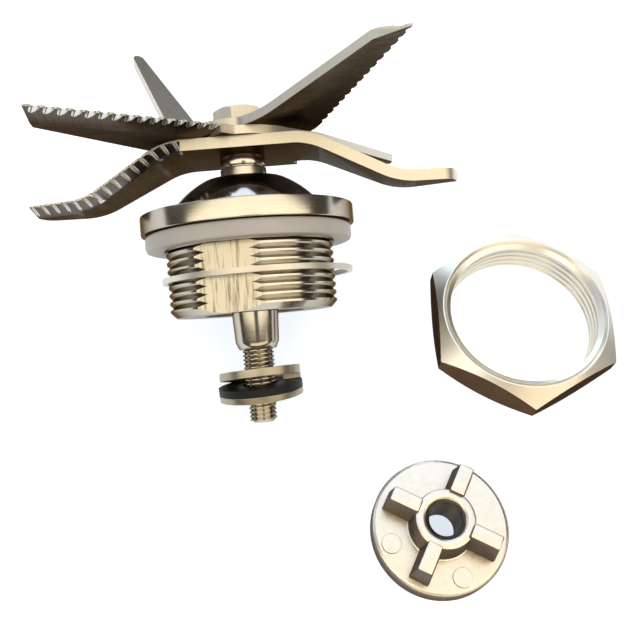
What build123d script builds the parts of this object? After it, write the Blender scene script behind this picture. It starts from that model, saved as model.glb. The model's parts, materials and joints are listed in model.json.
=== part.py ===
from build123d import *
import math
import os

# Blender blade assembly, millimetres. The blade unit lies on a table with its lock nut and its drive
# coupling taken off beside it. The unit is modelled upright, with +Z along its shaft towards the
# blades and the flange's underside at zero, and is then laid down.

# Clearances
press_gap = 0.02
run_gap = 0.05
loose_gap = 0.3

# Bearing housing
flange_overhang = 0.7
flange_t = 3.6
flange_round = 0.5
body_d = 31.8
body_len = 15.7
body_chamfer = 0.9
body_flat_depth = 0.95
body_flats_across = body_d - 2 * body_flat_depth
flats_turn = 70
dome_base_d = 29.6
dome_top_d = 15.6
dome_h = 6.1
dome_bulge = 0.7
dome_lip_t = 1.5
dome_hole_gap = 0.25

# Ball bearings, lip seal and what holds them
bearing_d = 19.0
bearing_bore = 7.0
bearing_w = 6.0
race_wall = 1.5
race_groove_depth = 0.2
ball_d = (bearing_d - bearing_bore) / 2 - 2 * (race_wall - race_groove_depth)
ball_count = 7
spacer_wall = 1.2
seal_d = 15.6
seal_case_wall = 1.3
seal_h = 4.4
seal_lip_h = 1.6
ring_t = 1.1
ring_wall = 1.6
ring_groove = 0.9
ring_gap_angle = 24
ring_land = 1.05

# Shaft
collar_d = 8.8
collar_len = 4.5
collar_top_d = 8.5
collar_top_len = 1.9
collar_groove_w = 0.4
collar_groove_depth = 0.3
seat_d = 6.4
seat_flats_across = 4.8
stud_d = 5.0
thread_d = 6.0
thread_len = 19.6
dog_d = 5.0
dog_len = 3.4
dog_chamfer = 0.8
sleeve_d = 9.1
sleeve_len = 9.1
sleeve_chamfer = 0.9

# Gasket and washers
gasket_wall = 3.65
gasket_t = 3.2
gasket_round = 0.7
gasket_d = body_d + 2 * (run_gap + gasket_wall)
flange_d = gasket_d + 2 * flange_overhang
seat_washer_rim = 0.95
seat_washer_t = 1.0
seat_washer_drop = 5.0
seat_washer_hang = 1.2
seat_washer_turn = -9
seat_washer_bore = body_d + 2 * (seat_washer_hang + run_gap)
seat_washer_d = seat_washer_bore + 2 * seat_washer_rim
spring_washer_d = 15.6
spring_washer_bore = 8.8
spring_washer_t = 1.5
spring_washer_pitch = 1.6
spring_washer_sweep = 350
spring_washer_lean = 3.0
spring_washer_drop = 4.3
flat_washer_d = 16.0
flat_washer_t = 1.2
flat_washer_drop = 8.5
flat_washer_gap = 0.45
flat_washer_bore = thread_d + 2 * flat_washer_gap
flat_washer_lean = 6.0
flat_washer_roll = 2.5

# Blade plates, with leads on the side that turns forward
plate_t = 1.6
edge_t = 0.35
groove_pitch = 2.3

flat_hub_d = 22.0
flat_reach = 46.1
flat_lead_root = 7.4
flat_lead_tip = 2.85
flat_tail_root = 10.8
flat_tail_tip = 3.8
flat_tip_slant = 5.2
flat_bevel = 5.0
flat_groove_r = 0.95
flat_groove_depth = 0.55
flat_groove_len = 1.6

upper_hub_d = 20.4
upper_lag = 107.4
wing_lead = 11.5
wing_lead_from = 9.0
wing_tail_root = 7.4
wing_reach = 44.0
wing_tip_w = 5.1
wing_tip_slant = 4.1
wing_fold_at = 12.5
wing_fold_skew = 21.3
wing_fold_r = 30.0
wing_rise = 13.5
wing_bevel = 4.0
wing_bevel_from = 11.5
wing_groove_r = 0.95
wing_groove_depth = 0.45
wing_groove_len = 2.6
finger_lead = 9.9
finger_root_w = 7.0
finger_tip_w = 2.2
finger_reach = 33.6
finger_fold_at = 9.4
finger_fold_r = 3.0
finger_rise = 46.0
finger_tip_round = 1.05

lower_plate_t = 2.1
lower_lag = 44.1
lower_hub_len = 21.2
lower_hub_w = 20.0
lower_reach = 41.2
lower_lead_tip = 0.1
lower_tail_tip = 6.4
lower_tip_slant = 2.0
lower_tip_round = 3.0
lower_step_at = 13.5
lower_slope_run = 15.9
lower_slope_drop = 8.2
lower_bend_skew = 4.6
lower_bend_r = 13.0
lower_bevel = 3.0
lower_groove_r = 0.45
lower_groove_depth = 0.6
lower_groove_len = 2.8

# Blade nut
blade_nut_across = 8.8
blade_nut_h = 4.0
blade_nut_chamfer = 0.6
blade_nut_turn = 12.2

# Lock nut
lock_nut_wall = 1.8
lock_nut_h = 8.5
lock_nut_chamfer = 1.6
lock_nut_mouth = 0.7
lock_nut_gap = 0.1
lock_nut_across = body_d + 2 * (lock_nut_gap + lock_nut_wall)
lock_nut_place = (54.7, -15.6)
lock_nut_turn = 24.5

# Drive coupling
coupling_d = 25.4
coupling_t = 4.2
coupling_round = 1.0
boss_d = 12.0
boss_h = 9.4
lug_count = 4
lug_w = 3.9
lug_inset = 1.6
lug_end = coupling_d / 2 - lug_inset
lug_h = 10.2
cast_draft = 6
pad_d = 3.6
pad_h = 0.3
pad_inset = 2.9
pad_at = coupling_d / 2 - pad_inset
coupling_gap = 0.05
coupling_mouth = 0.5
coupling_place = (30.37, -55.99)
coupling_turn = 58


def turned(points):
    """A solid turned about the shaft axis from a closed outline of radius and height."""
    return revolve(Plane.XZ * make_face(Polyline(*points, close=True)), Axis.Z)


def ring(outer_d, inner_d, low, high):
    """A plain ring between two heights."""
    outer = Pos(0, 0, (low + high) / 2) * Cylinder(outer_d / 2, high - low)
    return outer - Pos(0, 0, (low + high) / 2) * Cylinder(inner_d / 2, 2 * (high - low))


def hexagon(across, height, chamfer):
    """A hexagon standing on zero, its corners turned off by a cone at both ends."""
    corner_r = across / math.sqrt(3)
    flat_r = across / 2
    prism = extrude(RegularPolygon(flat_r, 6, major_radius=False), height)
    cone = turned([
        (0, 0), (flat_r - chamfer / 2, 0), (corner_r, chamfer), (corner_r, height - chamfer),
        (flat_r - chamfer / 2, height), (0, height),
    ])
    return prism & cone


# Heights along the shaft
dome_top = flange_t + dome_h
pocket_top = dome_top - dome_lip_t
bearing_top = pocket_top - seal_h - loose_gap
bearing_mid = bearing_top - bearing_w
body_low = -body_len
bearing_low = body_low + ring_land + run_gap + ring_t
lower_bearing_top = bearing_low + bearing_w
plate_low = dome_top + collar_len
flat_mid = plate_low + lower_plate_t + plate_t / 2
upper_mid = flat_mid + plate_t
stack_top = upper_mid + plate_t / 2
sleeve_low = bearing_low - sleeve_len
thread_low = bearing_low - thread_len
shaft_low = thread_low - dog_len
stud_top = stack_top + blade_nut_h - loose_gap


# Bearing housing: dome, flange and body turned in one piece, with two flats milled on the thread
def make_housing():
    flange_r = flange_d / 2
    body_r = body_d / 2
    dome_mid_r = (dome_base_d + dome_top_d) / 4
    dome_out = dome_bulge / math.hypot(dome_h, (dome_base_d - dome_top_d) / 2)
    bulge_point = (
        dome_mid_r + dome_out * dome_h,
        flange_t + dome_h / 2 + dome_out * (dome_base_d - dome_top_d) / 2,
    )
    hole_r = collar_d / 2 + dome_hole_gap
    bore_r = bearing_d / 2 + press_gap
    outline = [
        Line((hole_r, dome_top), (dome_top_d / 2, dome_top)),
        ThreePointArc((dome_top_d / 2, dome_top), bulge_point, (dome_base_d / 2, flange_t)),
        Polyline(
            (dome_base_d / 2, flange_t), (flange_r - flange_round, flange_t),
            (flange_r, flange_t - flange_round), (flange_r, flange_round), (flange_r - flange_round, 0),
            (body_r, 0), (body_r, body_low + body_chamfer), (body_r - body_chamfer, body_low),
            (bore_r, body_low), (bore_r, bearing_top), (seal_d / 2 + press_gap, bearing_top),
            (seal_d / 2 + press_gap, pocket_top), (hole_r, pocket_top), (hole_r, dome_top),
        ),
    ]
    housing = revolve(Plane.XZ * make_face(outline), Axis.Z)
    groove_r_out = bore_r + ring_groove
    housing -= ring(2 * groove_r_out, bearing_d / 2, bearing_low - ring_t - run_gap, bearing_low)
    flat_h = body_len - gasket_t
    side = body_d - body_flats_across
    for turn in (flats_turn, flats_turn + 180):
        cutter = Pos(body_flats_across / 2 + side / 2, 0, body_low + flat_h / 2) * Box(side, body_d, flat_h)
        housing -= Rot(Z=turn) * cutter
    return housing


# Lip seal: a pressed case with a thin lip that runs on the shaft's collar
def make_seal():
    case_r = seal_d / 2
    lip_r = collar_d / 2 + run_gap
    low = pocket_top - seal_h
    return turned([
        (case_r, low), (case_r, pocket_top), (lip_r + seal_case_wall, pocket_top),
        (lip_r, pocket_top - seal_lip_h / 2), (lip_r + seal_case_wall / 2, pocket_top - seal_lip_h),
        (case_r - seal_case_wall, pocket_top - seal_lip_h), (case_r - seal_case_wall, low),
    ])


# Ball bearing: two grooved races and their balls, hanging down from its top height
def bearing_pitch_r():
    return (bearing_d + bearing_bore) / 4


def race_groove(top):
    groove = Plane.XZ * Pos(bearing_pitch_r(), top - bearing_w / 2) * Circle(ball_d / 2 + run_gap)
    return revolve(groove, Axis.Z)


def make_outer_race(top):
    return ring(bearing_d, bearing_d - 2 * race_wall, top - bearing_w, top) - race_groove(top)


def make_inner_race(top):
    bore = bearing_bore + 2 * press_gap
    return ring(bearing_bore + 2 * race_wall, bore, top - bearing_w, top) - race_groove(top)


def make_balls(top):
    ball = Pos(bearing_pitch_r(), 0, top - bearing_w / 2) * Sphere(ball_d / 2)
    return Compound([Rot(Z=360 / ball_count * i) * ball for i in range(ball_count)])


def make_retaining_ring():
    outer_r = bearing_d / 2 + ring_groove
    high = bearing_low - run_gap / 2
    clip = ring(2 * outer_r, 2 * (bearing_d / 2 - ring_wall), high - ring_t, high)
    half_gap = outer_r * math.sin(math.radians(ring_gap_angle / 2))
    return clip - Pos(outer_r, 0, high) * Box(2 * outer_r, 2 * half_gap, 4 * ring_t)


# Shaft: stud, flatted blade seat, collar, bearing journal, thread and dog point
def make_shaft():
    collar_r = collar_d / 2
    collar_top_r = collar_top_d / 2
    collar_groove_r = collar_top_r - collar_groove_depth
    collar_step = plate_low - collar_top_len
    journal_r = bearing_bore / 2
    thread_r = thread_d / 2
    dog_r = dog_d / 2
    core = turned([
        (0, stud_top), (stud_d / 2, stud_top), (stud_d / 2, stack_top), (seat_d / 2, stack_top),
        (seat_d / 2, plate_low), (collar_top_r, plate_low), (collar_top_r, collar_step),
        (collar_groove_r, collar_step), (collar_groove_r, collar_step - collar_groove_w),
        (collar_r, collar_step - collar_groove_w), (collar_r, bearing_top), (journal_r, bearing_top),
        (journal_r, bearing_low), (thread_r, bearing_low), (thread_r, thread_low),
        (dog_r, thread_low - (thread_r - dog_r)), (dog_r, shaft_low + dog_chamfer),
        (dog_r - dog_chamfer, shaft_low), (0, shaft_low),
    ])
    seat_h = stack_top - plate_low
    side = seat_d - seat_flats_across
    for turn in (0, 180):
        cutter = Pos(0, seat_flats_across / 2 + side / 2, plate_low + seat_h / 2) * Box(seat_d, side, seat_h)
        core -= Rot(Z=turn) * cutter
    return core


def make_sleeve():
    bore_r = thread_d / 2 + press_gap
    outer_r = sleeve_d / 2
    return turned([
        (bore_r, bearing_low), (outer_r, bearing_low), (outer_r, sleeve_low + sleeve_chamfer),
        (outer_r - sleeve_chamfer, sleeve_low), (bore_r, sleeve_low),
    ])


# Washers: a thin one on the body thread, and a split and a flat one loose on the shaft
def make_gasket():
    inner_r = body_d / 2 + run_gap
    outer_r = gasket_d / 2
    return turned([
        (inner_r, 0), (outer_r - gasket_round, 0), (outer_r, -gasket_round),
        (outer_r, gasket_round - gasket_t), (outer_r - gasket_round, -gasket_t), (inner_r, -gasket_t),
    ])


seat_washer_low = -gasket_t - seat_washer_drop - seat_washer_t
flat_washer_mid = sleeve_low - flat_washer_drop


def make_spring_washer():
    middle_r = (spring_washer_d + spring_washer_bore) / 4
    climb = spring_washer_pitch * spring_washer_sweep / 360
    path = Helix(spring_washer_pitch, climb, middle_r)
    section = Plane(path @ 0, x_dir=(1, 0, 0), z_dir=path % 0) * Rectangle(
        (spring_washer_d - spring_washer_bore) / 2, spring_washer_t)
    sag = (spring_washer_bore - thread_d) / 2 - loose_gap
    middle = sleeve_low - spring_washer_drop - spring_washer_t / 2
    washer = Pos(0, 0, -climb / 2) * sweep(section, path, is_frenet=True)
    return Pos(0, sag, middle) * Rot(X=-spring_washer_lean) * washer


def make_flat_washer():
    washer = ring(flat_washer_d, flat_washer_bore, -flat_washer_t / 2, flat_washer_t / 2)
    return Pos(0, 0, flat_washer_mid) * Rot(X=flat_washer_lean) * Rot(Y=-flat_washer_roll) * washer


def make_seat_washer():
    washer = ring(seat_washer_d, seat_washer_bore, seat_washer_low, seat_washer_low + seat_washer_t)
    return Rot(Z=seat_washer_turn) * Pos(seat_washer_hang, 0) * washer


# Blade plates, each arm made along X with its leading edge towards Y
def edge_tools(path, sheet_t, bevel, side, groove_r, groove_depth, groove_len):
    """What grinding takes off above or below a leading edge that follows a path: a wedge and its grooves."""
    half = sheet_t / 2
    edge_z = side * (edge_t - half)
    run = path % 0
    outward = (-run.Y, run.X, 0)
    wedge = Plane(path @ 0, x_dir=outward, z_dir=run) * make_face(Polyline(
        (-bevel, side * half), (0, edge_z), (sheet_t, edge_z), (sheet_t, side * 2 * sheet_t),
        (-bevel, side * 2 * sheet_t), close=True))
    slope = math.degrees(math.atan((sheet_t - edge_t) / bevel) + math.atan(groove_depth / groove_len))
    groove = Rot(Z=-side * slope) * Rot(Y=90) * Cylinder(groove_r, 3 * bevel)
    groove = Pos(0, edge_z + side * (groove_r - groove_depth)) * groove
    tools = [sweep(wedge, path)]
    for i in range(int(path.length / groove_pitch)):
        share = (i + 0.5) * groove_pitch / path.length
        tools.append(Plane(path @ share, x_dir=outward, z_dir=path % share) * groove)
    return tools


def blank(outline, height):
    """An upright block of an arm's outline about zero height."""
    return extrude(make_face(Polyline(*outline, close=True)), height / 2, both=True)


def bent_sheet(points, width, sheet_t, bend_r):
    """A sheet that follows points of X and height, its bends across X."""
    path = FilletPolyline(*[(x, 0, z) for x, z in points], radius=bend_r)
    return sweep(Plane(path @ 0, x_dir=(0, 1, 0), z_dir=path % 0) * Rectangle(width, sheet_t), path)


def seat_hole(mid):
    """The flatted hole that the shaft's seat fills."""
    hole = Cylinder(seat_d / 2 + press_gap, 2 * lower_plate_t)
    return Pos(0, 0, mid) * (hole & Box(2 * seat_d, seat_flats_across + 2 * press_gap, 2 * lower_plate_t))


def make_flat_plate():
    root = flat_hub_d / 2
    tip = (flat_reach, flat_lead_tip)
    arm = blank([
        (0, -flat_tail_root), (root, -flat_tail_root), (flat_reach - flat_tip_slant, -flat_tail_tip), tip,
        (root, flat_lead_root), (0, flat_lead_root),
    ], plate_t)
    arm -= edge_tools(Line((root, flat_lead_root), tip), plate_t, flat_bevel, -1,
                      flat_groove_r, flat_groove_depth, flat_groove_len)
    return Cylinder(root, plate_t) + arm + Rot(Z=180) * arm


def make_wing():
    """The near arm of the upper plate, rising from a soft fold that runs askew."""
    rise = math.radians(wing_rise)
    outline = blank([
        (0, -wing_tail_root), (wing_reach - wing_tip_slant, wing_lead - wing_tip_w), (wing_reach, wing_lead),
        (wing_lead_from, wing_lead), (0, upper_hub_d / 2),
    ], wing_reach)
    tools = edge_tools(Line((wing_bevel_from, wing_lead), (wing_reach, wing_lead)), plate_t, wing_bevel, 1,
                       wing_groove_r, wing_groove_depth, wing_groove_len)
    fold = Axis(Vector(wing_fold_at, 0, 0).rotate(Axis.Z, wing_fold_skew),
                Vector(0, 1, 0).rotate(Axis.Z, wing_fold_skew))
    sheet = Rot(Z=wing_fold_skew) * bent_sheet([
        (0, 0), (wing_fold_at, 0),
        (wing_fold_at + wing_reach * math.cos(rise), wing_reach * math.sin(rise)),
    ], 2 * wing_reach, plate_t, wing_fold_r)
    wing = sheet & outline.rotate(fold, -wing_rise)
    return wing - [tool.rotate(fold, -wing_rise) for tool in tools]


def make_finger():
    """The far arm of the upper plate, a plain finger folded up steeply."""
    rise = math.radians(finger_rise)
    tip_at = finger_fold_at + finger_reach * math.cos(rise)
    outline = blank([
        (0, finger_lead - finger_root_w), (finger_fold_at, finger_lead - finger_root_w),
        (tip_at, finger_lead - finger_tip_w), (tip_at, finger_lead), (0, finger_lead),
    ], 2 * finger_reach)
    outline = fillet(outline.edges().filter_by(Axis.Z).group_by(Axis.X)[-1], finger_tip_round)
    sheet = bent_sheet([
        (0, 0), (finger_fold_at, 0),
        (finger_fold_at + 2 * finger_reach * math.cos(rise), 2 * finger_reach * math.sin(rise)),
    ], 2 * finger_reach, plate_t, finger_fold_r)
    return sheet & outline


def make_upper_plate():
    return Cylinder(upper_hub_d / 2, plate_t) + make_wing() + Rot(Z=180) * make_finger()


def make_lower_plate():
    root = lower_hub_len / 2
    half_w = lower_hub_w / 2
    foot_at = lower_step_at + lower_slope_run
    askew = math.tan(math.radians(lower_bend_skew))
    taper = (lower_lead_tip - half_w) / (lower_reach - root)

    def lead_point(at, z):
        x = (at + askew * (half_w - taper * root)) / (1 - askew * taper)
        return (x, half_w + taper * (x - root), z)

    outline = blank([
        (0, -half_w), (root, -half_w), (lower_reach - lower_tip_slant, -lower_tail_tip),
        (lower_reach, lower_lead_tip), (root, half_w), (0, half_w),
    ], 2 * lower_reach)
    tail_corner = outline.edges().filter_by(Axis.Z).sort_by(Axis.X)[-2:].sort_by(Axis.Y)[0]
    outline = fillet(tail_corner, lower_tip_round)
    sheet = Rot(Z=-lower_bend_skew) * bent_sheet([
        (-lower_hub_len, 0), (lower_step_at, 0), (foot_at, -lower_slope_drop), (2 * foot_at, -lower_slope_drop),
    ], 2 * lower_reach, lower_plate_t, lower_bend_r)
    edge = FilletPolyline(
        (root, half_w, 0), lead_point(lower_step_at, 0), lead_point(foot_at, -lower_slope_drop),
        lead_point(lower_reach + lower_plate_t, -lower_slope_drop), radius=lower_bend_r)
    arm = (sheet & outline) - edge_tools(edge, lower_plate_t, lower_bevel, -1,
                                         lower_groove_r, lower_groove_depth, lower_groove_len)
    return arm + Rot(Z=180) * arm


def make_blade_nut():
    nut = hexagon(blade_nut_across, blade_nut_h, blade_nut_chamfer)
    bore = Cylinder(stud_d / 2 + press_gap, 3 * blade_nut_h)
    return Pos(0, 0, stack_top) * Rot(Z=blade_nut_turn) * (nut - bore)


# Lock nut that clamps the housing in the jar, lying flat
def make_lock_nut():
    bore_r = body_d / 2 + lock_nut_gap
    nut = hexagon(lock_nut_across, lock_nut_h, lock_nut_chamfer)
    hole = turned([
        (0, 0), (bore_r + lock_nut_mouth, 0), (bore_r, lock_nut_mouth), (bore_r, lock_nut_h - lock_nut_mouth),
        (bore_r + lock_nut_mouth, lock_nut_h), (0, lock_nut_h),
    ])
    return Rot(Z=lock_nut_turn) * (nut - hole)


# Drive coupling: a cast disc with a tapped boss and radial lugs, lying on its back
def make_coupling():
    outer_r = coupling_d / 2
    bore_r = thread_d / 2 + coupling_gap
    coupling = turned([
        (0, 0), (outer_r - coupling_round, 0), (outer_r, coupling_round),
        (outer_r, coupling_t - coupling_round), (outer_r - coupling_round, coupling_t), (0, coupling_t),
    ])
    coupling += Pos(0, 0, coupling_t) * extrude(Circle(boss_d / 2), boss_h - coupling_t, taper=cast_draft)
    lug_from = boss_d / 4
    lug_outline = Pos((lug_from + lug_end) / 2, 0) * Rectangle(lug_end - lug_from, lug_w)
    lug = Pos(0, 0, coupling_t) * extrude(lug_outline, lug_h - coupling_t, taper=cast_draft)
    pad = Pos(pad_at, 0, coupling_t + pad_h / 2) * Cylinder(pad_d / 2, pad_h)
    for i in range(lug_count):
        coupling += Rot(Z=360 / lug_count * i) * lug
    for i in (1, 2):
        coupling += Rot(Z=360 / lug_count * (i + 0.5)) * pad
    top = lug_h
    coupling -= turned([
        (0, 0), (bore_r + coupling_mouth, 0), (bore_r, coupling_mouth), (bore_r, boss_h - coupling_mouth),
        (bore_r + coupling_mouth, boss_h), (bore_r + coupling_mouth, top), (0, top),
    ])
    return Rot(Z=coupling_turn) * coupling


# The unit lies on the rims below its flange, on its flat washer and on one tip of the flat plate
lean = math.radians(flat_washer_lean)
foot_r = flat_washer_d / 2 * math.cos(lean) + flat_washer_t / 2 * math.sin(lean)
foot_z = flat_washer_mid + flat_washer_d / 2 * math.sin(lean) - flat_washer_t / 2 * math.cos(lean)
seat_washer_reach = seat_washer_d / 2 + seat_washer_hang * math.sin(math.radians(seat_washer_turn))
rims = [
    (flange_d / 2, 0), (gasket_d / 2, -gasket_t), (seat_washer_reach, seat_washer_low),
    (body_d / 2, body_low + body_chamfer),
]
lie_slope = max((r - foot_r) / (z - foot_z) for r, z in rims)
lie_angle = math.degrees(math.atan(lie_slope))
tip_low = flat_mid + plate_t / 2 - edge_t
tip_r = math.hypot(flat_reach, flat_lead_tip)
tip_turn = math.degrees(math.acos((foot_r + (tip_low - foot_z) * lie_slope) / tip_r))
flat_turn = 90 - tip_turn - math.degrees(math.atan2(flat_lead_tip, flat_reach))

plates = {
    "lower_blade_plate": (make_lower_plate(), plate_low + lower_plate_t / 2, flat_turn - lower_lag),
    "middle_blade_plate": (make_flat_plate(), flat_mid, flat_turn),
    "upper_blade_plate": (make_upper_plate(), upper_mid, flat_turn - upper_lag),
}

unit = {
    "bearing_housing": make_housing(),
    "lip_seal": make_seal(),
    "upper_outer_race": make_outer_race(bearing_top),
    "upper_inner_race": make_inner_race(bearing_top),
    "upper_balls": make_balls(bearing_top),
    "lower_outer_race": make_outer_race(lower_bearing_top),
    "lower_inner_race": make_inner_race(lower_bearing_top),
    "lower_balls": make_balls(lower_bearing_top),
    "outer_spacer": ring(bearing_d, bearing_d - 2 * spacer_wall, lower_bearing_top, bearing_mid),
    "inner_spacer": ring(bearing_bore + 2 * spacer_wall, bearing_bore + 2 * press_gap, lower_bearing_top,
                         bearing_mid),
    "retaining_ring": make_retaining_ring(),
    "shaft": make_shaft(),
    "shaft_sleeve": make_sleeve(),
    "spring_washer": make_spring_washer(),
    "flat_washer": make_flat_washer(),
    "flange_gasket": make_gasket(),
    "seat_washer": make_seat_washer(),
    "blade_nut": make_blade_nut(),
}
for name, (plate, mid, turn) in plates.items():
    unit[name] = Pos(0, 0, mid) * Rot(Z=turn) * plate - seat_hole(mid)

# Lay the unit down and set everything about the middle of its footprint
lay_down = Pos(0, 0, (foot_r - foot_z * lie_slope) * math.cos(math.radians(lie_angle))) * Rot(X=lie_angle - 90)
pieces = {name: lay_down * piece for name, piece in unit.items()}
pieces["lock_nut"] = Pos(*lock_nut_place) * make_lock_nut()
pieces["drive_coupling"] = Pos(*coupling_place) * make_coupling()
box = Compound([piece for piece in pieces.values()]).bounding_box()
to_middle = Pos(-box.center().X, -box.center().Y, -box.min.Z)

os.makedirs("parts", exist_ok=True)
for name, piece in pieces.items():
    export_step(to_middle * piece, f"parts/{name}.step")
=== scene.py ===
import bmesh
import bpy
import json
import math
from mathutils import Matrix, Vector


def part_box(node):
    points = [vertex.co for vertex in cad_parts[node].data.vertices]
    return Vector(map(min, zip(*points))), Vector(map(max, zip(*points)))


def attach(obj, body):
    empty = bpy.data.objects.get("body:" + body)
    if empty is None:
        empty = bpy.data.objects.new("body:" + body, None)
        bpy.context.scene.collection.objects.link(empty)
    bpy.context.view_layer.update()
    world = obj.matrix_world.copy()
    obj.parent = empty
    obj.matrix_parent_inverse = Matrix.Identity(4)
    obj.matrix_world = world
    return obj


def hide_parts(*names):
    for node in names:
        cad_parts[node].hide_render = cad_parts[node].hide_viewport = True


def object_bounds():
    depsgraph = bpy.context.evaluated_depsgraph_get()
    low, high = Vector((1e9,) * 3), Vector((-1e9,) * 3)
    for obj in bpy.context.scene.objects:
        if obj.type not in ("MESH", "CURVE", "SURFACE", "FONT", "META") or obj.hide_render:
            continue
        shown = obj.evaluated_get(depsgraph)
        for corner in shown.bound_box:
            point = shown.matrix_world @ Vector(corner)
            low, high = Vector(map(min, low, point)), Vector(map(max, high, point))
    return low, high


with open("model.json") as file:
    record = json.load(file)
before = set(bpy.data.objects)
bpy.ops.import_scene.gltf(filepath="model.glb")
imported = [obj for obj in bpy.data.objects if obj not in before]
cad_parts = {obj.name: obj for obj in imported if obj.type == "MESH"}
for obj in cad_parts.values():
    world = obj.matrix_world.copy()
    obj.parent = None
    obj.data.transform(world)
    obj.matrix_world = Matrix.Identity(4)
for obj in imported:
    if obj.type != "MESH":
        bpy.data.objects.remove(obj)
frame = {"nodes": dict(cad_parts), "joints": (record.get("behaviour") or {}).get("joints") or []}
cad_low, cad_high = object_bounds()


# Bearing housing: one piece of stainless steel, turned to a polished dome, a satin flange and a threaded
# body. Two flats are milled across the thread, and the bore holds both bearings.
flange_t = 3.6
flange_round = 0.5
dome_base_r = 14.8
dome_top_r = 7.8
dome_bulge = 0.62
dome_points = 12
body_chamfer = 0.5
body_pitch = 1.5
body_thread_depth = 0.6
body_flat_r = 14.75
body_flats_turn = 72.5
turn_steps = 160
sharp_angle = math.radians(32)
merge_mm = 0.0001
thread_sink = 0.05
run_gap = 0.05
dome_margin = 0.1

spin_joint = next(joint for joint in frame["joints"] if joint["name"] == "blade_spin")
shaft_axis = Vector(spin_joint["axis"])
shaft_side = Vector((1, 0, 0))
shaft_turn = Matrix((shaft_side, shaft_axis.cross(shaft_side), shaft_axis)).transposed()
on_shaft = Matrix.Translation(spin_joint["pos_m"]) @ shaft_turn.to_4x4()
mm = Matrix.Scale(0.001, 4)


def measured(node):
    """A CAD node's inner and outer radius about the shaft and its low and high end along it, in mm."""
    from_table = (on_shaft @ mm).inverted()
    points = [from_table @ vertex.co for vertex in frame["nodes"][node].data.vertices]
    radii = [point.xy.length for point in points]
    heights = [point.z for point in points]
    return min(radii), max(radii), min(heights), max(heights)


def spun(outline):
    """A ring turned about Z from a closed outline of radius and height."""
    mesh = bmesh.new()
    points = [mesh.verts.new((radius, 0, height)) for radius, height in outline]
    edges = [mesh.edges.new(pair) for pair in zip(points, points[1:] + points[:1])]
    bmesh.ops.spin(mesh, geom=points + edges, cent=(0, 0, 0), axis=(0, 0, 1), dvec=(0, 0, 0),
                   angle=math.tau, steps=turn_steps, use_merge=True)
    bmesh.ops.remove_doubles(mesh, verts=mesh.verts, dist=0.0005)
    bmesh.ops.recalc_face_normals(mesh, faces=mesh.faces)
    return mesh


def thread_rings(crest_r, root_r, high, low, pitch):
    """The outline of a thread's ridges from its high end down, as many whole ones as come nearest."""
    turns = round((high - low) / pitch)
    step = (high - low) / turns
    points = []
    for i in range(turns):
        top = high - i * step
        points += [(root_r, top), (crest_r, top - 0.34 * step), (crest_r, top - 0.58 * step)]
    return points + [(root_r, low)]


def soften(mesh, width, angle=math.radians(40)):
    """Rounds the mesh's sharp edges a little, as tumbling or polishing leaves them."""
    sharp = [edge for edge in mesh.edges if edge.is_manifold and edge.calc_face_angle() > angle]
    bmesh.ops.bevel(mesh, geom=sharp, offset=width, offset_type="OFFSET", segments=2, profile=0.5,
                    affect="EDGES", clamp_overlap=True, material=-1)


def sliced(mesh, place, way, merge):
    """Cuts away what lies past a plane and returns the edges round the cut."""
    cut = bmesh.ops.bisect_plane(mesh, geom=[*mesh.verts, *mesh.edges, *mesh.faces], dist=merge,
                                 plane_co=place, plane_no=way, clear_outer=True)
    return [part for part in cut["geom_cut"] if isinstance(part, bmesh.types.BMEdge)]


def made(name, meshes, matrix, materials, slot, body, *nodes):
    """A finished piece of one or more meshes, set in place, that stands for CAD nodes."""
    data = bpy.data.meshes.new(name)
    whole = bmesh.new()
    for mesh in meshes:
        mesh.to_mesh(data)
        whole.from_mesh(data)
        mesh.free()
    bmesh.ops.transform(whole, matrix=matrix, verts=whole.verts)
    whole.to_mesh(data)
    whole.free()
    data.polygons.foreach_set("use_smooth", [True] * len(data.polygons))
    data.set_sharp_from_angle(angle=sharp_angle)
    for material in materials:
        data.materials.append(material)
    piece = bpy.data.objects.new(name, data)
    bpy.context.scene.collection.objects.link(piece)
    flat_shade = piece.modifiers.new("flat_shade", "WEIGHTED_NORMAL")
    flat_shade.keep_sharp = True
    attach(piece, body)
    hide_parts(*nodes)


def colour(code):
    """A linear colour from an sRGB hex code."""
    parts = [int(code[i:i + 2], 16) / 255 for i in (0, 2, 4)]
    linear = [part / 12.92 if part <= 0.04045 else ((part + 0.055) / 1.055) ** 2.4 for part in parts]
    return (*linear, 1)


def add(tree, kind, inputs, **settings):
    """Adds a node with its settings, its inputs given as values or as other nodes' outputs."""
    node = tree.nodes.new(kind)
    for name, value in settings.items():
        setattr(node, name, value)
    for name, value in inputs.items():
        if isinstance(value, bpy.types.NodeSocket):
            tree.links.new(value, node.inputs[name])
        else:
            node.inputs[name].default_value = value
    return node


def finish(name, **inputs):
    """A new material with its shader's plain inputs set; returns it with its tree and shader."""
    material = bpy.data.materials.new(name)
    material.use_nodes = True
    shader = material.node_tree.nodes["Principled BSDF"]
    for key, value in inputs.items():
        shader.inputs[key.replace("_", " ")].default_value = value
    return material, material.node_tree, shader


def shaft_place(tree):
    """Object coordinates turned to the shaft: along it and out from it, in metres."""
    place = add(tree, "ShaderNodeTexCoord", {})
    to_shaft = on_shaft.inverted()
    return add(tree, "ShaderNodeMapping", {
        "Vector": place.outputs["Object"], "Location": to_shaft.translation,
        "Rotation": to_shaft.to_euler()}).outputs["Vector"]


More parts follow.
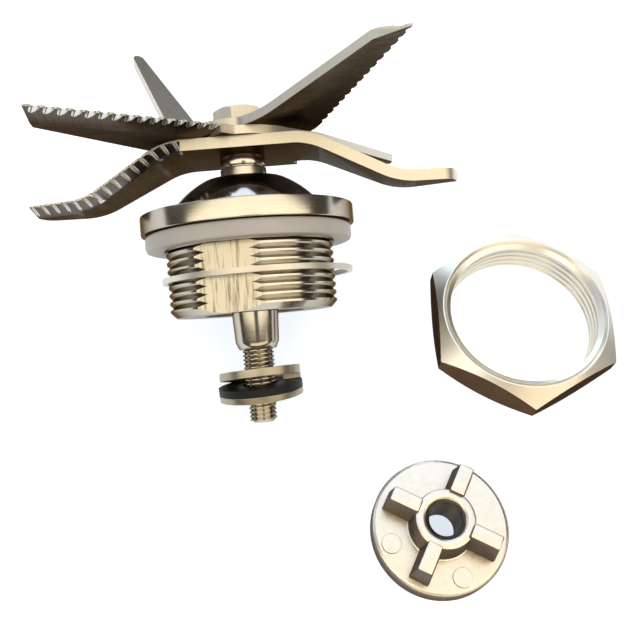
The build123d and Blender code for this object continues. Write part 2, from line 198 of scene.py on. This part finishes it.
def lathe_lines(tree, width):
    """A noise that runs round the shaft in fine rings, one per width in mm, as a lathe tool leaves them."""
    place = add(tree, "ShaderNodeSeparateXYZ", {"Vector": shaft_place(tree)})
    flat = add(tree, "ShaderNodeCombineXYZ", {"X": place.outputs["X"], "Y": place.outputs["Y"]})
    out = add(tree, "ShaderNodeVectorMath", {0: flat.outputs["Vector"]}, operation="LENGTH")
    ring = add(tree, "ShaderNodeCombineXYZ", {"X": out.outputs["Value"], "Z": place.outputs["Z"]})
    return add(tree, "ShaderNodeTexNoise", {
        "Vector": ring.outputs["Vector"], "Scale": 1000 / width, "Detail": 4.0}).outputs["Fac"]


def dress(tree, shader, pattern, dark, light, gloss, raised=None):
    """Lets a pattern drive a shader's colour, its roughness and, where given, a bump's strength and depth."""
    tone = add(tree, "ShaderNodeMixRGB", {"Fac": pattern, "Color1": colour(dark), "Color2": colour(light)})
    rough = add(tree, "ShaderNodeMapRange", {"Value": pattern, "To Min": gloss[0], "To Max": gloss[1]})
    tree.links.new(tone.outputs["Color"], shader.inputs["Base Color"])
    tree.links.new(rough.outputs["Result"], shader.inputs["Roughness"])
    if raised:
        bump = add(tree, "ShaderNodeBump", {"Height": pattern, "Strength": raised[0], "Distance": raised[1]})
        tree.links.new(bump.outputs["Normal"], shader.inputs["Normal"])


# Turned stainless steel, satin: bright bands along the axis, and a brown tint where it is seen at a slant,
# which is a painted reflection of a dark brown room
turned_steel, tree, shader = finish("turned_stainless_satin", Metallic=1.0, Specular_Tint=colour("6e5a45"))
lines = lathe_lines(tree, 0.4)
dress(tree, shader, lines, "b3ada1", "c2bcb0", (0.14, 0.2), (0.03, 0.0001))

# Polished stainless steel: nearly a mirror, dark where it faces dark things, with faint polishing marks
polished_steel, tree, shader = finish("polished_stainless", Metallic=1.0, Specular_Tint=colour("938d87"))
lines = lathe_lines(tree, 0.25)
dress(tree, shader, lines, "a9a5a2", "b8b4b0", (0.1, 0.16))

# Milled stainless steel: the cutter's passes leave short dark scratches along the body
milled_steel, tree, shader = finish("milled_stainless", Metallic=1.0)
place = add(tree, "ShaderNodeMapping", {
    "Vector": shaft_place(tree), "Rotation": (0, 0, math.radians(-body_flats_turn)), "Scale": (1, 1, 0.08)})
marks = add(tree, "ShaderNodeTexNoise", {
    "Vector": place.outputs["Vector"], "Scale": 1000 / 0.7, "Detail": 5.0, "Roughness": 0.7})
scratch = add(tree, "ShaderNodeMapRange", {
    "Value": marks.outputs["Fac"], "From Min": 0.3, "From Max": 0.5})
tone = add(tree, "ShaderNodeMixRGB", {
    "Fac": scratch.outputs["Result"], "Color1": colour("6f6656"), "Color2": colour("d2cab6")})
bump = add(tree, "ShaderNodeBump", {"Height": marks.outputs["Fac"], "Strength": 0.5, "Distance": 0.0002})
tree.links.new(tone.outputs["Color"], shader.inputs["Base Color"])
tree.links.new(bump.outputs["Normal"], shader.inputs["Normal"])
shader.inputs["Roughness"].default_value = 0.38

hole_r, flange_r, body_low, dome_top = measured("bearing_housing")
_, bore_r, _, bearing_top = measured("upper_outer_race")
_, seal_r, _, pocket_top = measured("lip_seal")
_, ring_r, ring_low, ring_high = measured("retaining_ring")
gasket_in_r, gasket_r, gasket_low, _ = measured("flange_gasket")
body_r = gasket_in_r - run_gap
body_root_r = body_r - body_thread_depth
body_thread_low = body_low + body_chamfer

dome = []
for i in range(dome_points + 1):
    share = i / dome_points
    out = 4 * dome_bulge * share * (1 - share) / math.hypot(dome_base_r - dome_top_r, dome_top - flange_t)
    dome.append((dome_top_r + share * (dome_base_r - dome_top_r) + out * (dome_top - flange_t),
                 dome_top + share * (flange_t - dome_top) + out * (dome_base_r - dome_top_r)))
head = spun([
    (hole_r, dome_top), *dome, (flange_r, flange_t), (flange_r, 0), (body_r, 0), (body_r, gasket_low),
    (bore_r, gasket_low), (bore_r, bearing_top), (seal_r, bearing_top), (seal_r, pocket_top),
    (hole_r, pocket_top),
])
soften(head, flange_round / 2)
for face in head.faces:
    middle = face.calc_center_median()
    on_dome = middle.xy.length < dome_base_r + dome_margin
    face.material_index = 1 if on_dome and middle.z > flange_t - dome_margin / 2 else 0

threaded = spun([
    *thread_rings(body_r, body_root_r, gasket_low, body_thread_low, body_pitch),
    (body_root_r - body_chamfer, body_low), (bore_r, body_low), (bore_r, ring_low), (ring_r, ring_low),
    (ring_r, ring_high), (bore_r, ring_high), (bore_r, gasket_low),
])
for turn in (body_flats_turn, body_flats_turn + 180):
    way = Vector((math.cos(math.radians(turn)), math.sin(math.radians(turn)), 0))
    rim = sliced(threaded, way * body_flat_r, way, merge_mm)
    flat = bmesh.ops.contextual_create(threaded, geom=rim)
    for face in flat["faces"]:
        face.material_index = 2
bmesh.ops.recalc_face_normals(threaded, faces=threaded.faces)
made("turned_housing", [head, threaded], on_shaft @ mm, [turned_steel, polished_steel, milled_steel],
     "housing_steel", "housing_set", "bearing_housing")


# Bearings, spacers, seal and clip: bought bearings of hardened steel between two spacer tubes, a rubber lip
# seal above them and a spring clip below. They are pressed or snapped into the bore.
bearing_steel, tree, shader = finish("ground_bearing_steel", Metallic=1.0)
lines = lathe_lines(tree, 0.3)
dress(tree, shader, lines, "a7a39c", "c6c2ba", (0.12, 0.25))

# Moulded nitrile rubber: black, dull, with the faint grain of its mould; it is also the black sheet of
# painted shade on the flat washer
rubber_and_shade_sheet, tree, shader = finish("moulded_rubber_and_shade_sheet", IOR=1.52, Specular_IOR_Level=0.3)
grain = add(tree, "ShaderNodeTexNoise", {"Vector": shaft_place(tree), "Scale": 1000 / 0.5, "Detail": 3.0})
dress(tree, shader, grain.outputs["Fac"], "09090a", "141415", (0.45, 0.65))

bearing_nodes = [
    "upper_outer_race", "upper_inner_race", "lower_outer_race", "lower_inner_race", "upper_balls",
    "lower_balls", "outer_spacer", "inner_spacer", "retaining_ring",
]
for name in bearing_nodes:
    frame["nodes"][name].data.materials.clear()
    frame["nodes"][name].data.materials.append(bearing_steel)
frame["nodes"]["lip_seal"].data.materials.clear()
frame["nodes"]["lip_seal"].data.materials.append(rubber_and_shade_sheet)


# Gasket: a moulded ring of clear-milky silicone, stretched over the body and held up under the flange.
gasket_round = 0.8

# Moulded silicone: milky grey, light passes a little way into it, dull with a soft sheen
gasket_silicone, tree, shader = finish(
    "moulded_silicone", IOR=1.41, Roughness=0.42, Subsurface_Weight=0.35, Subsurface_Scale=0.002,
    Subsurface_Radius=(1.0, 0.9, 0.8))
cloud = add(tree, "ShaderNodeTexNoise", {"Vector": shaft_place(tree), "Scale": 1000 / 9.0, "Detail": 2.0})
tone = add(tree, "ShaderNodeMixRGB", {
    "Fac": cloud.outputs["Fac"], "Color1": colour("adacae"), "Color2": colour("c1bfc0")})
tree.links.new(tone.outputs["Color"], shader.inputs["Base Color"])
gasket = spun([(gasket_in_r, 0), (gasket_r, 0), (gasket_r, gasket_low), (gasket_in_r, gasket_low)])
soften(gasket, gasket_round)
made("silicone_gasket", [gasket], on_shaft @ mm, [gasket_silicone], "gasket_silicone", "housing_set",
     "flange_gasket")


# Seat washer: a thin pressed ring of pale metal that hangs loose and off centre on the body's thread.
def cad_copy(node):
    """A CAD node's mesh with its triangles merged back into whole faces, in metres."""
    mesh = bmesh.new()
    mesh.from_mesh(frame["nodes"][node].data)
    bmesh.ops.remove_doubles(mesh, verts=mesh.verts, dist=0.000002)
    bmesh.ops.dissolve_limit(mesh, angle_limit=math.radians(0.5), verts=mesh.verts, edges=mesh.edges)
    return mesh


# Pressed aluminium: pale and satiny, with a few darker patches from handling
washer_metal, tree, shader = finish("pressed_aluminium", Metallic=1.0)
patch = add(tree, "ShaderNodeTexNoise", {"Vector": shaft_place(tree), "Scale": 1000 / 6.0, "Detail": 4.0})
dress(tree, shader, patch.outputs["Fac"], "bfbbae", "dedacf", (0.3, 0.5))
made("thin_seat_washer", [cad_copy("seat_washer")], Matrix(), [washer_metal], "seat_washer", "housing_set",
     "seat_washer")


# Shaft and sleeve: a turned steel shaft with a collar under the blades and a thread at its low end, and a
# plain turned sleeve pressed on it below the bearings. The stud at its top takes the blade nut.
stud_r = 2.5
seat_r = 3.2
plates_t = 5.3
collar_r = 4.4
collar_top_r = 4.25
collar_top_len = 1.9
collar_groove_r = 3.9
collar_groove_w = 0.4
journal_r = 3.5
shaft_crest_r = 3.0
shaft_root_r = 2.58
shaft_pitch = 0.78
end_crest_r = 2.6
end_root_r = 2.25
end_len = 3.4
end_round = 0.8
sleeve_bore_r = 3.02
sleeve_taper = 0.4
sleeve_end_r = 3.5
sleeve_end = 1.4
thread_steps = 40
shaft_edge = 0.1
sleeve_edge = 0.12


def screw_thread(crest_r, root_r, low, high, pitch):
    """A right-hand thread between two heights, closed at both ends."""
    mesh = bmesh.new()
    outline = [(root_r, 0), (crest_r, 0.42 * pitch), (crest_r, 0.54 * pitch), (root_r, pitch)]
    start = low - pitch
    points = [mesh.verts.new((radius, 0, start + height)) for radius, height in outline]
    edges = [mesh.edges.new(pair) for pair in zip(points, points[1:])]
    turns = math.ceil((high - low) / pitch) + 2
    bmesh.ops.spin(mesh, geom=points + edges, cent=(0, 0, 0), axis=(0, 0, 1), angle=math.tau * turns,
                   dvec=(0, 0, pitch / thread_steps), steps=thread_steps * turns, use_merge=False)
    bmesh.ops.remove_doubles(mesh, verts=mesh.verts, dist=0.001)
    for height, way in ((low, -1), (high, 1)):
        rim = sliced(mesh, (0, 0, height), (0, 0, way), merge_mm)
        bmesh.ops.contextual_create(mesh, geom=rim)
    bmesh.ops.recalc_face_normals(mesh, faces=mesh.faces)
    return mesh


_, sleeve_r, sleeve_low, sleeve_high = measured("shaft_sleeve")
_, _, stack_top, _ = measured("blade_nut")
_, _, shaft_low, stud_top = measured("shaft")
plate_low = stack_top - plates_t
collar_step = plate_low - collar_top_len
thread_low = shaft_low + end_len
core_r = shaft_root_r - thread_sink
end_core_r = end_root_r - thread_sink
shaft = spun([
    (0, stud_top), (stud_r, stud_top), (stud_r, stack_top), (seat_r, stack_top), (seat_r, plate_low),
    (collar_top_r, plate_low), (collar_top_r, collar_step), (collar_groove_r, collar_step),
    (collar_groove_r, collar_step - collar_groove_w), (collar_r, collar_step - collar_groove_w),
    (collar_r, bearing_top), (journal_r, bearing_top), (journal_r, sleeve_high),
    (shaft_crest_r, sleeve_high), (shaft_crest_r, sleeve_low), (core_r, sleeve_low), (core_r, thread_low),
    (end_core_r, thread_low),
    (end_core_r, shaft_low + end_round / 2), (end_core_r - end_round / 2, shaft_low), (0, shaft_low),
])
soften(shaft, shaft_edge)
thread = screw_thread(shaft_crest_r, shaft_root_r, thread_low, sleeve_low, shaft_pitch)
end_thread = screw_thread(end_crest_r, end_root_r, shaft_low + end_round / 2, thread_low, shaft_pitch)
made("turned_shaft", [shaft, thread, end_thread], on_shaft @ mm, [turned_steel], "shaft_steel",
     "blade_rotor", "shaft")
sleeve = spun([
    (sleeve_bore_r, sleeve_high), (sleeve_r, sleeve_high),
    (sleeve_r - sleeve_taper, sleeve_low + sleeve_end), (sleeve_end_r, sleeve_low),
    (sleeve_bore_r, sleeve_low),
])
soften(sleeve, sleeve_edge)
made("turned_sleeve", [sleeve], on_shaft @ mm, [turned_steel], "sleeve_steel", "blade_rotor",
     "shaft_sleeve")


# Loose washers: a split spring washer coiled from square wire and a flat washer stamped from sheet, both
# plated. The flat one carries a black sheet on its upper face, painted shade for the dark gap between the
# washers. They hang loose on the shaft's thread.
washer_edge = 0.00012
shade_sheet_t = 0.00135
shade_sheet_inset = 0.00035

# Zinc plating: pale and silky, warm where the plating has aged
plated_zinc, tree, shader = finish("zinc_plated_steel", Metallic=1.0)
patch = add(tree, "ShaderNodeTexNoise", {"Vector": shaft_place(tree), "Scale": 1000 / 3.0, "Detail": 5.0})
dress(tree, shader, patch.outputs["Fac"], "857d6e", "b8b09c", (0.25, 0.42))


def painted_shade_sheet(washer):
    """A black sheet on the washer's upper face, a little inside its rim, as painted shade for the dark gap
    between the washers.
    """
    layer = washer.copy()
    upper = max(layer.faces, key=lambda face: face.normal.dot(shaft_axis) * face.calc_area())
    way = upper.normal.copy()
    bmesh.ops.delete(layer, geom=[face for face in layer.faces if face is not upper], context="FACES")
    bmesh.ops.inset_region(layer, faces=layer.faces, thickness=shade_sheet_inset, use_even_offset=True)
    middle = max(layer.faces, key=lambda face: face.calc_area())
    bmesh.ops.delete(layer, geom=[face for face in layer.faces if face is not middle], context="FACES")
    bmesh.ops.solidify(layer, geom=layer.faces[:], thickness=-shade_sheet_t)
    for face in layer.faces:
        face.material_index = 1
    return layer


for name, node, slot in (("split_spring_washer", "spring_washer", "spring_steel"),
                         ("stamped_flat_washer", "flat_washer", "washer_zinc")):
    washer = cad_copy(node)
    meshes = [washer]
    if node == "flat_washer":
        # The flat washer gets a black sheet on its upper face: painted shade for the gap between the washers.
        meshes.append(painted_shade_sheet(washer))
    soften(washer, washer_edge)
    made(name, meshes, Matrix(), [plated_zinc, rubber_and_shade_sheet], slot, "blade_rotor", node)


# Blade plates: three double-ended blades cut from stainless sheet, bent to shape, their leading edges ground
# to a bevel and scalloped. They stack on the shaft's flatted seat.
blade_edge = 0.00006
lower_turn = -4.2
flat_turn = 39.9
upper_turn = -67.5
bevel_tilt = 0.14
scallop_area = 0.0000004
scallop_tilt = 0.12
edge_lean = 0.5
blade_sharp = math.radians(50)


def dress_blade(name, node, slot, turn):
    """A blade plate whose faces are told apart as rolled sheet, cut edge, ground bevel and scallop, each with
    painted light: dark faces, pale edges, dark bevel, bright scallops.
    """
    plate = cad_copy(node)
    to_plate = Matrix.Rotation(math.radians(-turn), 3, "Z") @ shaft_turn.transposed()
    start = Vector(spin_joint["pos_m"])
    # Each kind of face takes its own painted light or shade.
    for face in plate.faces:
        normal = to_plate @ face.normal
        at = to_plate @ (face.calc_center_median() - start)
        outward = normal.y if at.x > 0 else -normal.y
        if abs(normal.z) < edge_lean:
            face.material_index = 1
        elif abs(normal.x) > scallop_tilt and face.calc_area() < scallop_area:
            face.material_index = 3
        elif outward > bevel_tilt:
            face.material_index = 2
    soften(plate, blade_edge, blade_sharp)
    made(name, [plate], Matrix(), [sheet_painted_reflection, pale_steel_and_edge_highlight, bevel_painted_shade, scallop_painted_highlight], slot,
         "blade_rotor", node)


# Rolled stainless sheet: fine straight rolling lines; its dark brownish colour is a painted reflection of a
# dark room, browner at a slant
sheet_painted_reflection, tree, shader = finish(
    "stainless_sheet_painted_reflection", Metallic=1.0, Specular_Tint=colour("807972"))
place = add(tree, "ShaderNodeMapping", {"Vector": shaft_place(tree), "Scale": (0.05, 1, 1)})
grain = add(tree, "ShaderNodeTexNoise", {
    "Vector": place.outputs["Vector"], "Scale": 1000 / 0.5, "Detail": 5.0})
dress(tree, shader, grain.outputs["Fac"], "69625b", "80786f", (0.22, 0.36))

# Pale stainless, satiny with faint upright streaks: the blade nut's own colour, and on the blades' cut edges
# a painted highlight
pale_steel_and_edge_highlight, tree, shader = finish("pale_stainless_and_edge_highlight", Metallic=1.0)
place = add(tree, "ShaderNodeMapping", {"Vector": shaft_place(tree), "Scale": (1, 1, 0.1)})
grain = add(tree, "ShaderNodeTexNoise", {
    "Vector": place.outputs["Vector"], "Scale": 1000 / 0.6, "Detail": 4.0})
dress(tree, shader, grain.outputs["Fac"], "c6c0b2", "dcd6c8", (0.34, 0.48))

# Ground bevel: the wheel leaves short lines square to the edge; its dark mid grey is painted shade
bevel_painted_shade, tree, shader = finish("stainless_bevel_painted_shade", Metallic=1.0, Specular_Tint=colour("9a8f85"))
place = add(tree, "ShaderNodeMapping", {"Vector": shaft_place(tree), "Scale": (1, 0.1, 0.1)})
grain = add(tree, "ShaderNodeTexNoise", {
    "Vector": place.outputs["Vector"], "Scale": 1000 / 0.4, "Detail": 4.0})
dress(tree, shader, grain.outputs["Fac"], "595450", "726c67", (0.2, 0.34))

# Scallops: the cuts across the bevel, bright silver as a painted highlight
scallop_painted_highlight, tree, shader = finish("stainless_scallop_painted_highlight", Metallic=1.0)
place = add(tree, "ShaderNodeTexCoord", {})
grain = add(tree, "ShaderNodeTexNoise", {
    "Vector": place.outputs["Object"], "Scale": 1000 / 0.4, "Detail": 3.0})
dress(tree, shader, grain.outputs["Fac"], "c9c6c1", "e6e4e0", (0.25, 0.4))

dress_blade("lower_blade", "lower_blade_plate", "lower_blade_steel", lower_turn)
dress_blade("middle_blade", "middle_blade_plate", "middle_blade_steel", flat_turn)
dress_blade("upper_blade", "upper_blade_plate", "upper_blade_steel", upper_turn)


# Blade nut: a small stainless hexagon nut that clamps the three plates on the shaft's stud.
blade_nut_edge = 0.00012

blade_nut = cad_copy("blade_nut")
soften(blade_nut, blade_nut_edge)
made("stainless_blade_nut", [blade_nut], Matrix(), [pale_steel_and_edge_highlight], "blade_nut_steel", "blade_rotor",
     "blade_nut")


# Lock nut: a large thin hexagon nut machined from drawn bar, taken off the body and laid flat. Its faces and
# thread are turned bright, and its six sides are dark brown-grey as painted shade.
lock_nut_thread_depth = 0.8
lock_nut_cone = math.radians(36)
lock_nut_cone_r = 16.9
lock_nut_cone_cuts = 90
lock_nut_thread_end = 0.3
lock_nut_side_lean = 0.1
lock_nut_side_from = 1.05

# Bright zinc plating over the turned faces: pale, silky, slightly warm
bright_zinc, tree, shader = finish("bright_zinc_plate", Metallic=1.0)
place = add(tree, "ShaderNodeTexCoord", {})
cloud = add(tree, "ShaderNodeTexNoise", {
    "Vector": place.outputs["Object"], "Scale": 1000 / 8.0, "Detail": 4.0})
dress(tree, shader, cloud.outputs["Fac"], "e2ded2", "f3f0e8", (0.28, 0.38))

# Nut sides: dark brown-grey as painted shade, with faint upright streaks
nut_sides_painted_shade, tree, shader = finish("drawn_nut_sides_painted_shade", Metallic=1.0, Specular_Tint=colour("6a5546"))
place = add(tree, "ShaderNodeTexCoord", {})
place = add(tree, "ShaderNodeMapping", {"Vector": place.outputs["Object"], "Scale": (1, 1, 0.15)})
streak = add(tree, "ShaderNodeTexNoise", {
    "Vector": place.outputs["Vector"], "Scale": 1000 / 2.0, "Detail": 4.0})
dress(tree, shader, streak.outputs["Fac"], "5b4d41", "746456", (0.3, 0.45))

nut_low, nut_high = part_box("lock_nut")
nut_centre = (nut_low + nut_high) / 2
nut_place = Matrix.Translation((nut_centre.x, nut_centre.y, nut_low.z)) @ mm
nut_h = (nut_high.z - nut_low.z) * 1000
lock_nut = cad_copy("lock_nut")
nut_middle = nut_place.translation
bore_r = min((vertex.co - nut_middle).xy.length for vertex in lock_nut.verts) * 1000
# The six side faces take the dark material: painted shade.
for face in lock_nut.faces:
    away = face.calc_center_median() - nut_middle
    if abs(face.normal.z) < lock_nut_side_lean and 1000 * away.xy.length > lock_nut_side_from * bore_r:
        face.material_index = 1
for i in range(lock_nut_cone_cuts):
    turn = math.tau * i / lock_nut_cone_cuts
    for up, height in ((1, nut_high.z), (-1, nut_low.z)):
        way = Vector((math.cos(turn) * math.sin(lock_nut_cone), math.sin(turn) * math.sin(lock_nut_cone),
                      up * math.cos(lock_nut_cone)))
        start = Vector((nut_middle.x + math.cos(turn) * lock_nut_cone_r / 1000,
                        nut_middle.y + math.sin(turn) * lock_nut_cone_r / 1000, height))
        rim = sliced(lock_nut, start, way, merge_mm / 1000)
        for face in bmesh.ops.edgenet_fill(lock_nut, edges=rim)["faces"]:
            face.material_index = 0
bmesh.ops.recalc_face_normals(lock_nut, faces=lock_nut.faces)
ridges = thread_rings(bore_r - lock_nut_thread_depth, bore_r + thread_sink, nut_h - lock_nut_thread_end,
                      lock_nut_thread_end, body_pitch)
back_r = bore_r + 2 * thread_sink
nut_thread = spun(ridges + [(back_r, ridges[-1][1]), (back_r, ridges[0][1])])
bmesh.ops.transform(nut_thread, matrix=nut_place, verts=nut_thread.verts)
made("hexagon_lock_nut", [lock_nut, nut_thread], Matrix(), [bright_zinc, nut_sides_painted_shade], "lock_nut_zinc",
     "housing_set", "lock_nut")


# Drive coupling: a die-cast aluminium disc with four lugs and a tapped boss, taken off and laid on its back.
# The lug tops and the disc's face are pale, and the side faces are darker as painted shade, with the
# casting's grit.
disc_t = 4.2
disc_round = 0.5
boss_r = 6.0
boss_top_r = 5.45
boss_h = 9.4
mouth_r = 3.85
mouth_depth = 0.6
coupling_root_r = 3.4
coupling_crest_r = 2.9
lug_in = 5.0
lug_out = 11.1
lug_w = 3.9
lug_h = 10.2
lug_draft = 0.63
lug_turn = 58
lug_sink = 0.2
pad_r = 1.8
pad_h = 0.3
pad_at = 9.8
pad_edge = 0.1
shaded_side_lean = 0.6
cast_round = 0.3

# Worn cast aluminium: pale and silky with fine pits
worn_cast, tree, shader = finish("worn_cast_aluminium", Metallic=1.0)
place = add(tree, "ShaderNodeTexCoord", {})
pits = add(tree, "ShaderNodeTexNoise", {
    "Vector": place.outputs["Object"], "Scale": 1000 / 1.2, "Detail": 6.0})
dress(tree, shader, pits.outputs["Fac"], "d0cabc", "ebe6dc", (0.22, 0.36), (0.1, 0.0002))

# Cast aluminium sides: dull brown-grey as painted shade, a little rough with grit
cast_sides_painted_shade, tree, shader = finish("cast_aluminium_sides_painted_shade", Metallic=1.0, Specular_Tint=colour("7a6c60"))
place = add(tree, "ShaderNodeTexCoord", {})
grit = add(tree, "ShaderNodeTexNoise", {
    "Vector": place.outputs["Object"], "Scale": 1000 / 0.9, "Detail": 6.0})
dress(tree, shader, grit.outputs["Fac"], "77706a", "958d85", (0.35, 0.55), (0.3, 0.0002))

# Cut thread: nearly black, painted shade for the hole's shade
hole_thread_shade, tree, shader = finish("cut_thread_painted_shade", Metallic=1.0)
place = add(tree, "ShaderNodeTexCoord", {})
grit = add(tree, "ShaderNodeTexNoise", {
    "Vector": place.outputs["Object"], "Scale": 1000 / 0.6, "Detail": 4.0})
dress(tree, shader, grit.outputs["Fac"], "262320", "4d4840", (0.25, 0.4))

disc_low, disc_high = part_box("drive_coupling")
disc_middle = (disc_low + disc_high) / 2
disc_place = Matrix.Translation((disc_middle.x, disc_middle.y, disc_low.z)) @ mm
disc_r = (disc_high.x - disc_low.x) * 500
disc = spun([
    (mouth_r, boss_h), (coupling_root_r, boss_h - mouth_depth), (coupling_root_r, mouth_depth),
    (mouth_r, 0), (disc_r - disc_round, 0), (disc_r, disc_round), (disc_r, disc_t - disc_round),
    (disc_r - disc_round, disc_t), (boss_r, disc_t), (boss_top_r, boss_h),
])
soften(disc, cast_round)
ridges = thread_rings(coupling_crest_r, coupling_root_r + thread_sink, boss_h - mouth_depth, mouth_depth,
                      shaft_pitch)
back_r = coupling_root_r + 2 * thread_sink
tapped = spun(ridges + [(back_r, ridges[-1][1]), (back_r, ridges[0][1])])
cast = [disc, tapped]
for i in range(4):
    lug = bmesh.new()
    bmesh.ops.create_cube(lug, size=1)
    bmesh.ops.scale(lug, verts=lug.verts, vec=(lug_out - lug_in, lug_w, lug_h - disc_t + lug_sink))
    top = [vertex for vertex in lug.verts if vertex.co.z > 0]
    bmesh.ops.scale(lug, verts=top, vec=(1, 1 - 2 * lug_draft / lug_w, 1))
    bmesh.ops.translate(lug, verts=[vertex for vertex in top if vertex.co.x > 0], vec=(-lug_draft, 0, 0))
    middle = ((lug_in + lug_out) / 2, 0, (lug_h + disc_t - lug_sink) / 2)
    bmesh.ops.translate(lug, verts=lug.verts, vec=middle)
    soften(lug, cast_round)
    bmesh.ops.rotate(lug, verts=lug.verts, matrix=Matrix.Rotation(math.radians(lug_turn + 90 * i), 3, "Z"))
    cast.append(lug)
for turn in (lug_turn + 135, lug_turn + 225):
    pad = bmesh.new()
    bmesh.ops.create_cone(pad, cap_ends=True, segments=40, radius1=pad_r, radius2=pad_r, depth=2 * pad_h)
    bmesh.ops.translate(pad, verts=pad.verts, vec=(pad_at, 0, disc_t))
    soften(pad, pad_edge)
    bmesh.ops.rotate(pad, verts=pad.verts, matrix=Matrix.Rotation(math.radians(turn), 3, "Z"))
    cast.append(pad)
# Side faces take the darker cast material: painted shade.
for mesh in cast:
    for face in mesh.faces:
        if abs(face.normal.z) < shaded_side_lean:
            face.material_index = 1
# The tapped thread takes the near black material: painted shade.
for face in tapped.faces:
    face.material_index = 2
made("cast_drive_coupling", cast, disc_place, [worn_cast, cast_sides_painted_shade, hole_thread_shade], "coupling_cast",
     "housing_set", "drive_coupling")


# Stage: a white paper floor under the part, soft studio lamps and a camera.
floor_half = 3
floor_drop = 0.0001
floor_glow = 0.8

floor_mesh = bmesh.new()
bmesh.ops.create_grid(floor_mesh, x_segments=1, y_segments=1, size=floor_half)
bmesh.ops.translate(floor_mesh, verts=floor_mesh.verts, vec=(0, 0, cad_low.z - floor_drop))
floor_data = bpy.data.meshes.new("floor")
floor_mesh.to_mesh(floor_data)
floor_mesh.free()
floor = bpy.data.objects.new("floor", floor_data)
bpy.context.scene.collection.objects.link(floor)
floor_paper, tree, shader = finish("matt_white_paper", Roughness=0.9)
shader.inputs["Base Color"].default_value = colour("c8c6c2")
path = add(tree, "ShaderNodeLightPath", {})
seen = add(tree, "ShaderNodeMath", {0: path.outputs["Is Camera Ray"], 1: path.outputs["Is Glossy Ray"]},
           operation="MAXIMUM")
seen = add(tree, "ShaderNodeMath", {0: seen.outputs["Value"], 1: path.outputs["Is Transmission Ray"]},
           operation="MAXIMUM")
glow = add(tree, "ShaderNodeMath", {0: seen.outputs["Value"], 1: floor_glow}, operation="MULTIPLY")
shader.inputs["Emission Color"].default_value = colour("e8f2ff")
tree.links.new(glow.outputs["Value"], shader.inputs["Emission Strength"])
floor_data.materials.append(floor_paper)

world = bpy.data.worlds.new("warm_room")
bpy.context.scene.world = world
world.use_nodes = True
tree = world.node_tree
way = add(tree, "ShaderNodeTexCoord", {})
height = add(tree, "ShaderNodeSeparateXYZ", {"Vector": way.outputs["Generated"]})
room = add(tree, "ShaderNodeMapRange", {"Value": height.outputs["Z"], "From Min": 0.0, "From Max": 0.9})
tone = add(tree, "ShaderNodeMixRGB", {
    "Fac": room.outputs["Result"], "Color1": colour("6e6256"), "Color2": colour("9a948c")})
tree.links.new(tone.outputs["Color"], tree.nodes["Background"].inputs["Color"])
tree.nodes["Background"].inputs["Strength"].default_value = 0.5


def softbox(name, place, aim, wide, tall, radiance, tint):
    """A rectangular area lamp aimed at a point, as bright as its radiance says."""
    lamp = bpy.data.lights.new(name, "AREA")
    lamp.shape = "RECTANGLE"
    lamp.size = wide
    lamp.size_y = tall
    lamp.energy = radiance * wide * tall * math.pi
    lamp.color = colour(tint)[:3]
    box = bpy.data.objects.new(name, lamp)
    box.location = place
    box.rotation_euler = (Vector(place) - Vector(aim)).to_track_quat("Z", "Y").to_euler()
    bpy.context.scene.collection.objects.link(box)


softbox("high_strip", (0.02, -0.20, 0.68), (0.02, 0, 0.02), 3.1, 0.17, 2.2, "fff4de")
softbox("left_strip", (-0.86, -0.35, 0.63), (-0.86, 0, 0.02), 1.5, 0.15, 2.2, "fff4de")
softbox("right_strip", (0.88, -0.35, 0.63), (0.88, 0, 0.02), 1.5, 0.15, 2.2, "fff4de")
softbox("sky_ceiling", (0.1, 0.46, 0.8), (0.1, 0.46, 0), 1.0, 0.78, 1.5, "e6f1ff")
softbox("warm_ceiling", (0.2, -0.03, 0.8), (0.2, -0.03, 0), 0.8, 0.18, 1.6, "ffe2a8")
softbox("low_window", (0.0, 0.70, 0.27), (0, 0, 0.02), 0.5, 0.5, 2.4, "dcefff")
softbox("left_sky", (-0.65, 0.40, 0.42), (0, 0, 0.02), 0.7, 0.5, 1.3, "e6f1ff")
softbox("front_fill", (0.1, -0.66, 0.40), (0, 0, 0.02), 1.6, 0.3, 1.6, "ffeac4")

camera_data = bpy.data.cameras.new("camera")
camera_data.lens = 48.47
camera_data.sensor_width = 36
camera_data.clip_start = 0.01
camera = bpy.data.objects.new("camera", camera_data)
camera_way = Vector((0.0993, 0.4537, -0.8856)).normalized()
camera_up = Vector((0.0812, 0.8833, 0.4617))
camera_right = camera_way.cross(camera_up).normalized()
camera_turn = Matrix((camera_right, camera_right.cross(camera_way), -camera_way)).transposed()
camera_from_joint = Vector((-0.004177, -0.091616, 0.139263))
camera_place = Vector(spin_joint["pos_m"]) + camera_from_joint
camera.matrix_world = Matrix.Translation(camera_place) @ camera_turn.to_4x4()
bpy.context.scene.collection.objects.link(camera)
bpy.context.scene.camera = camera
bpy.context.scene.view_settings.view_transform = "Standard"
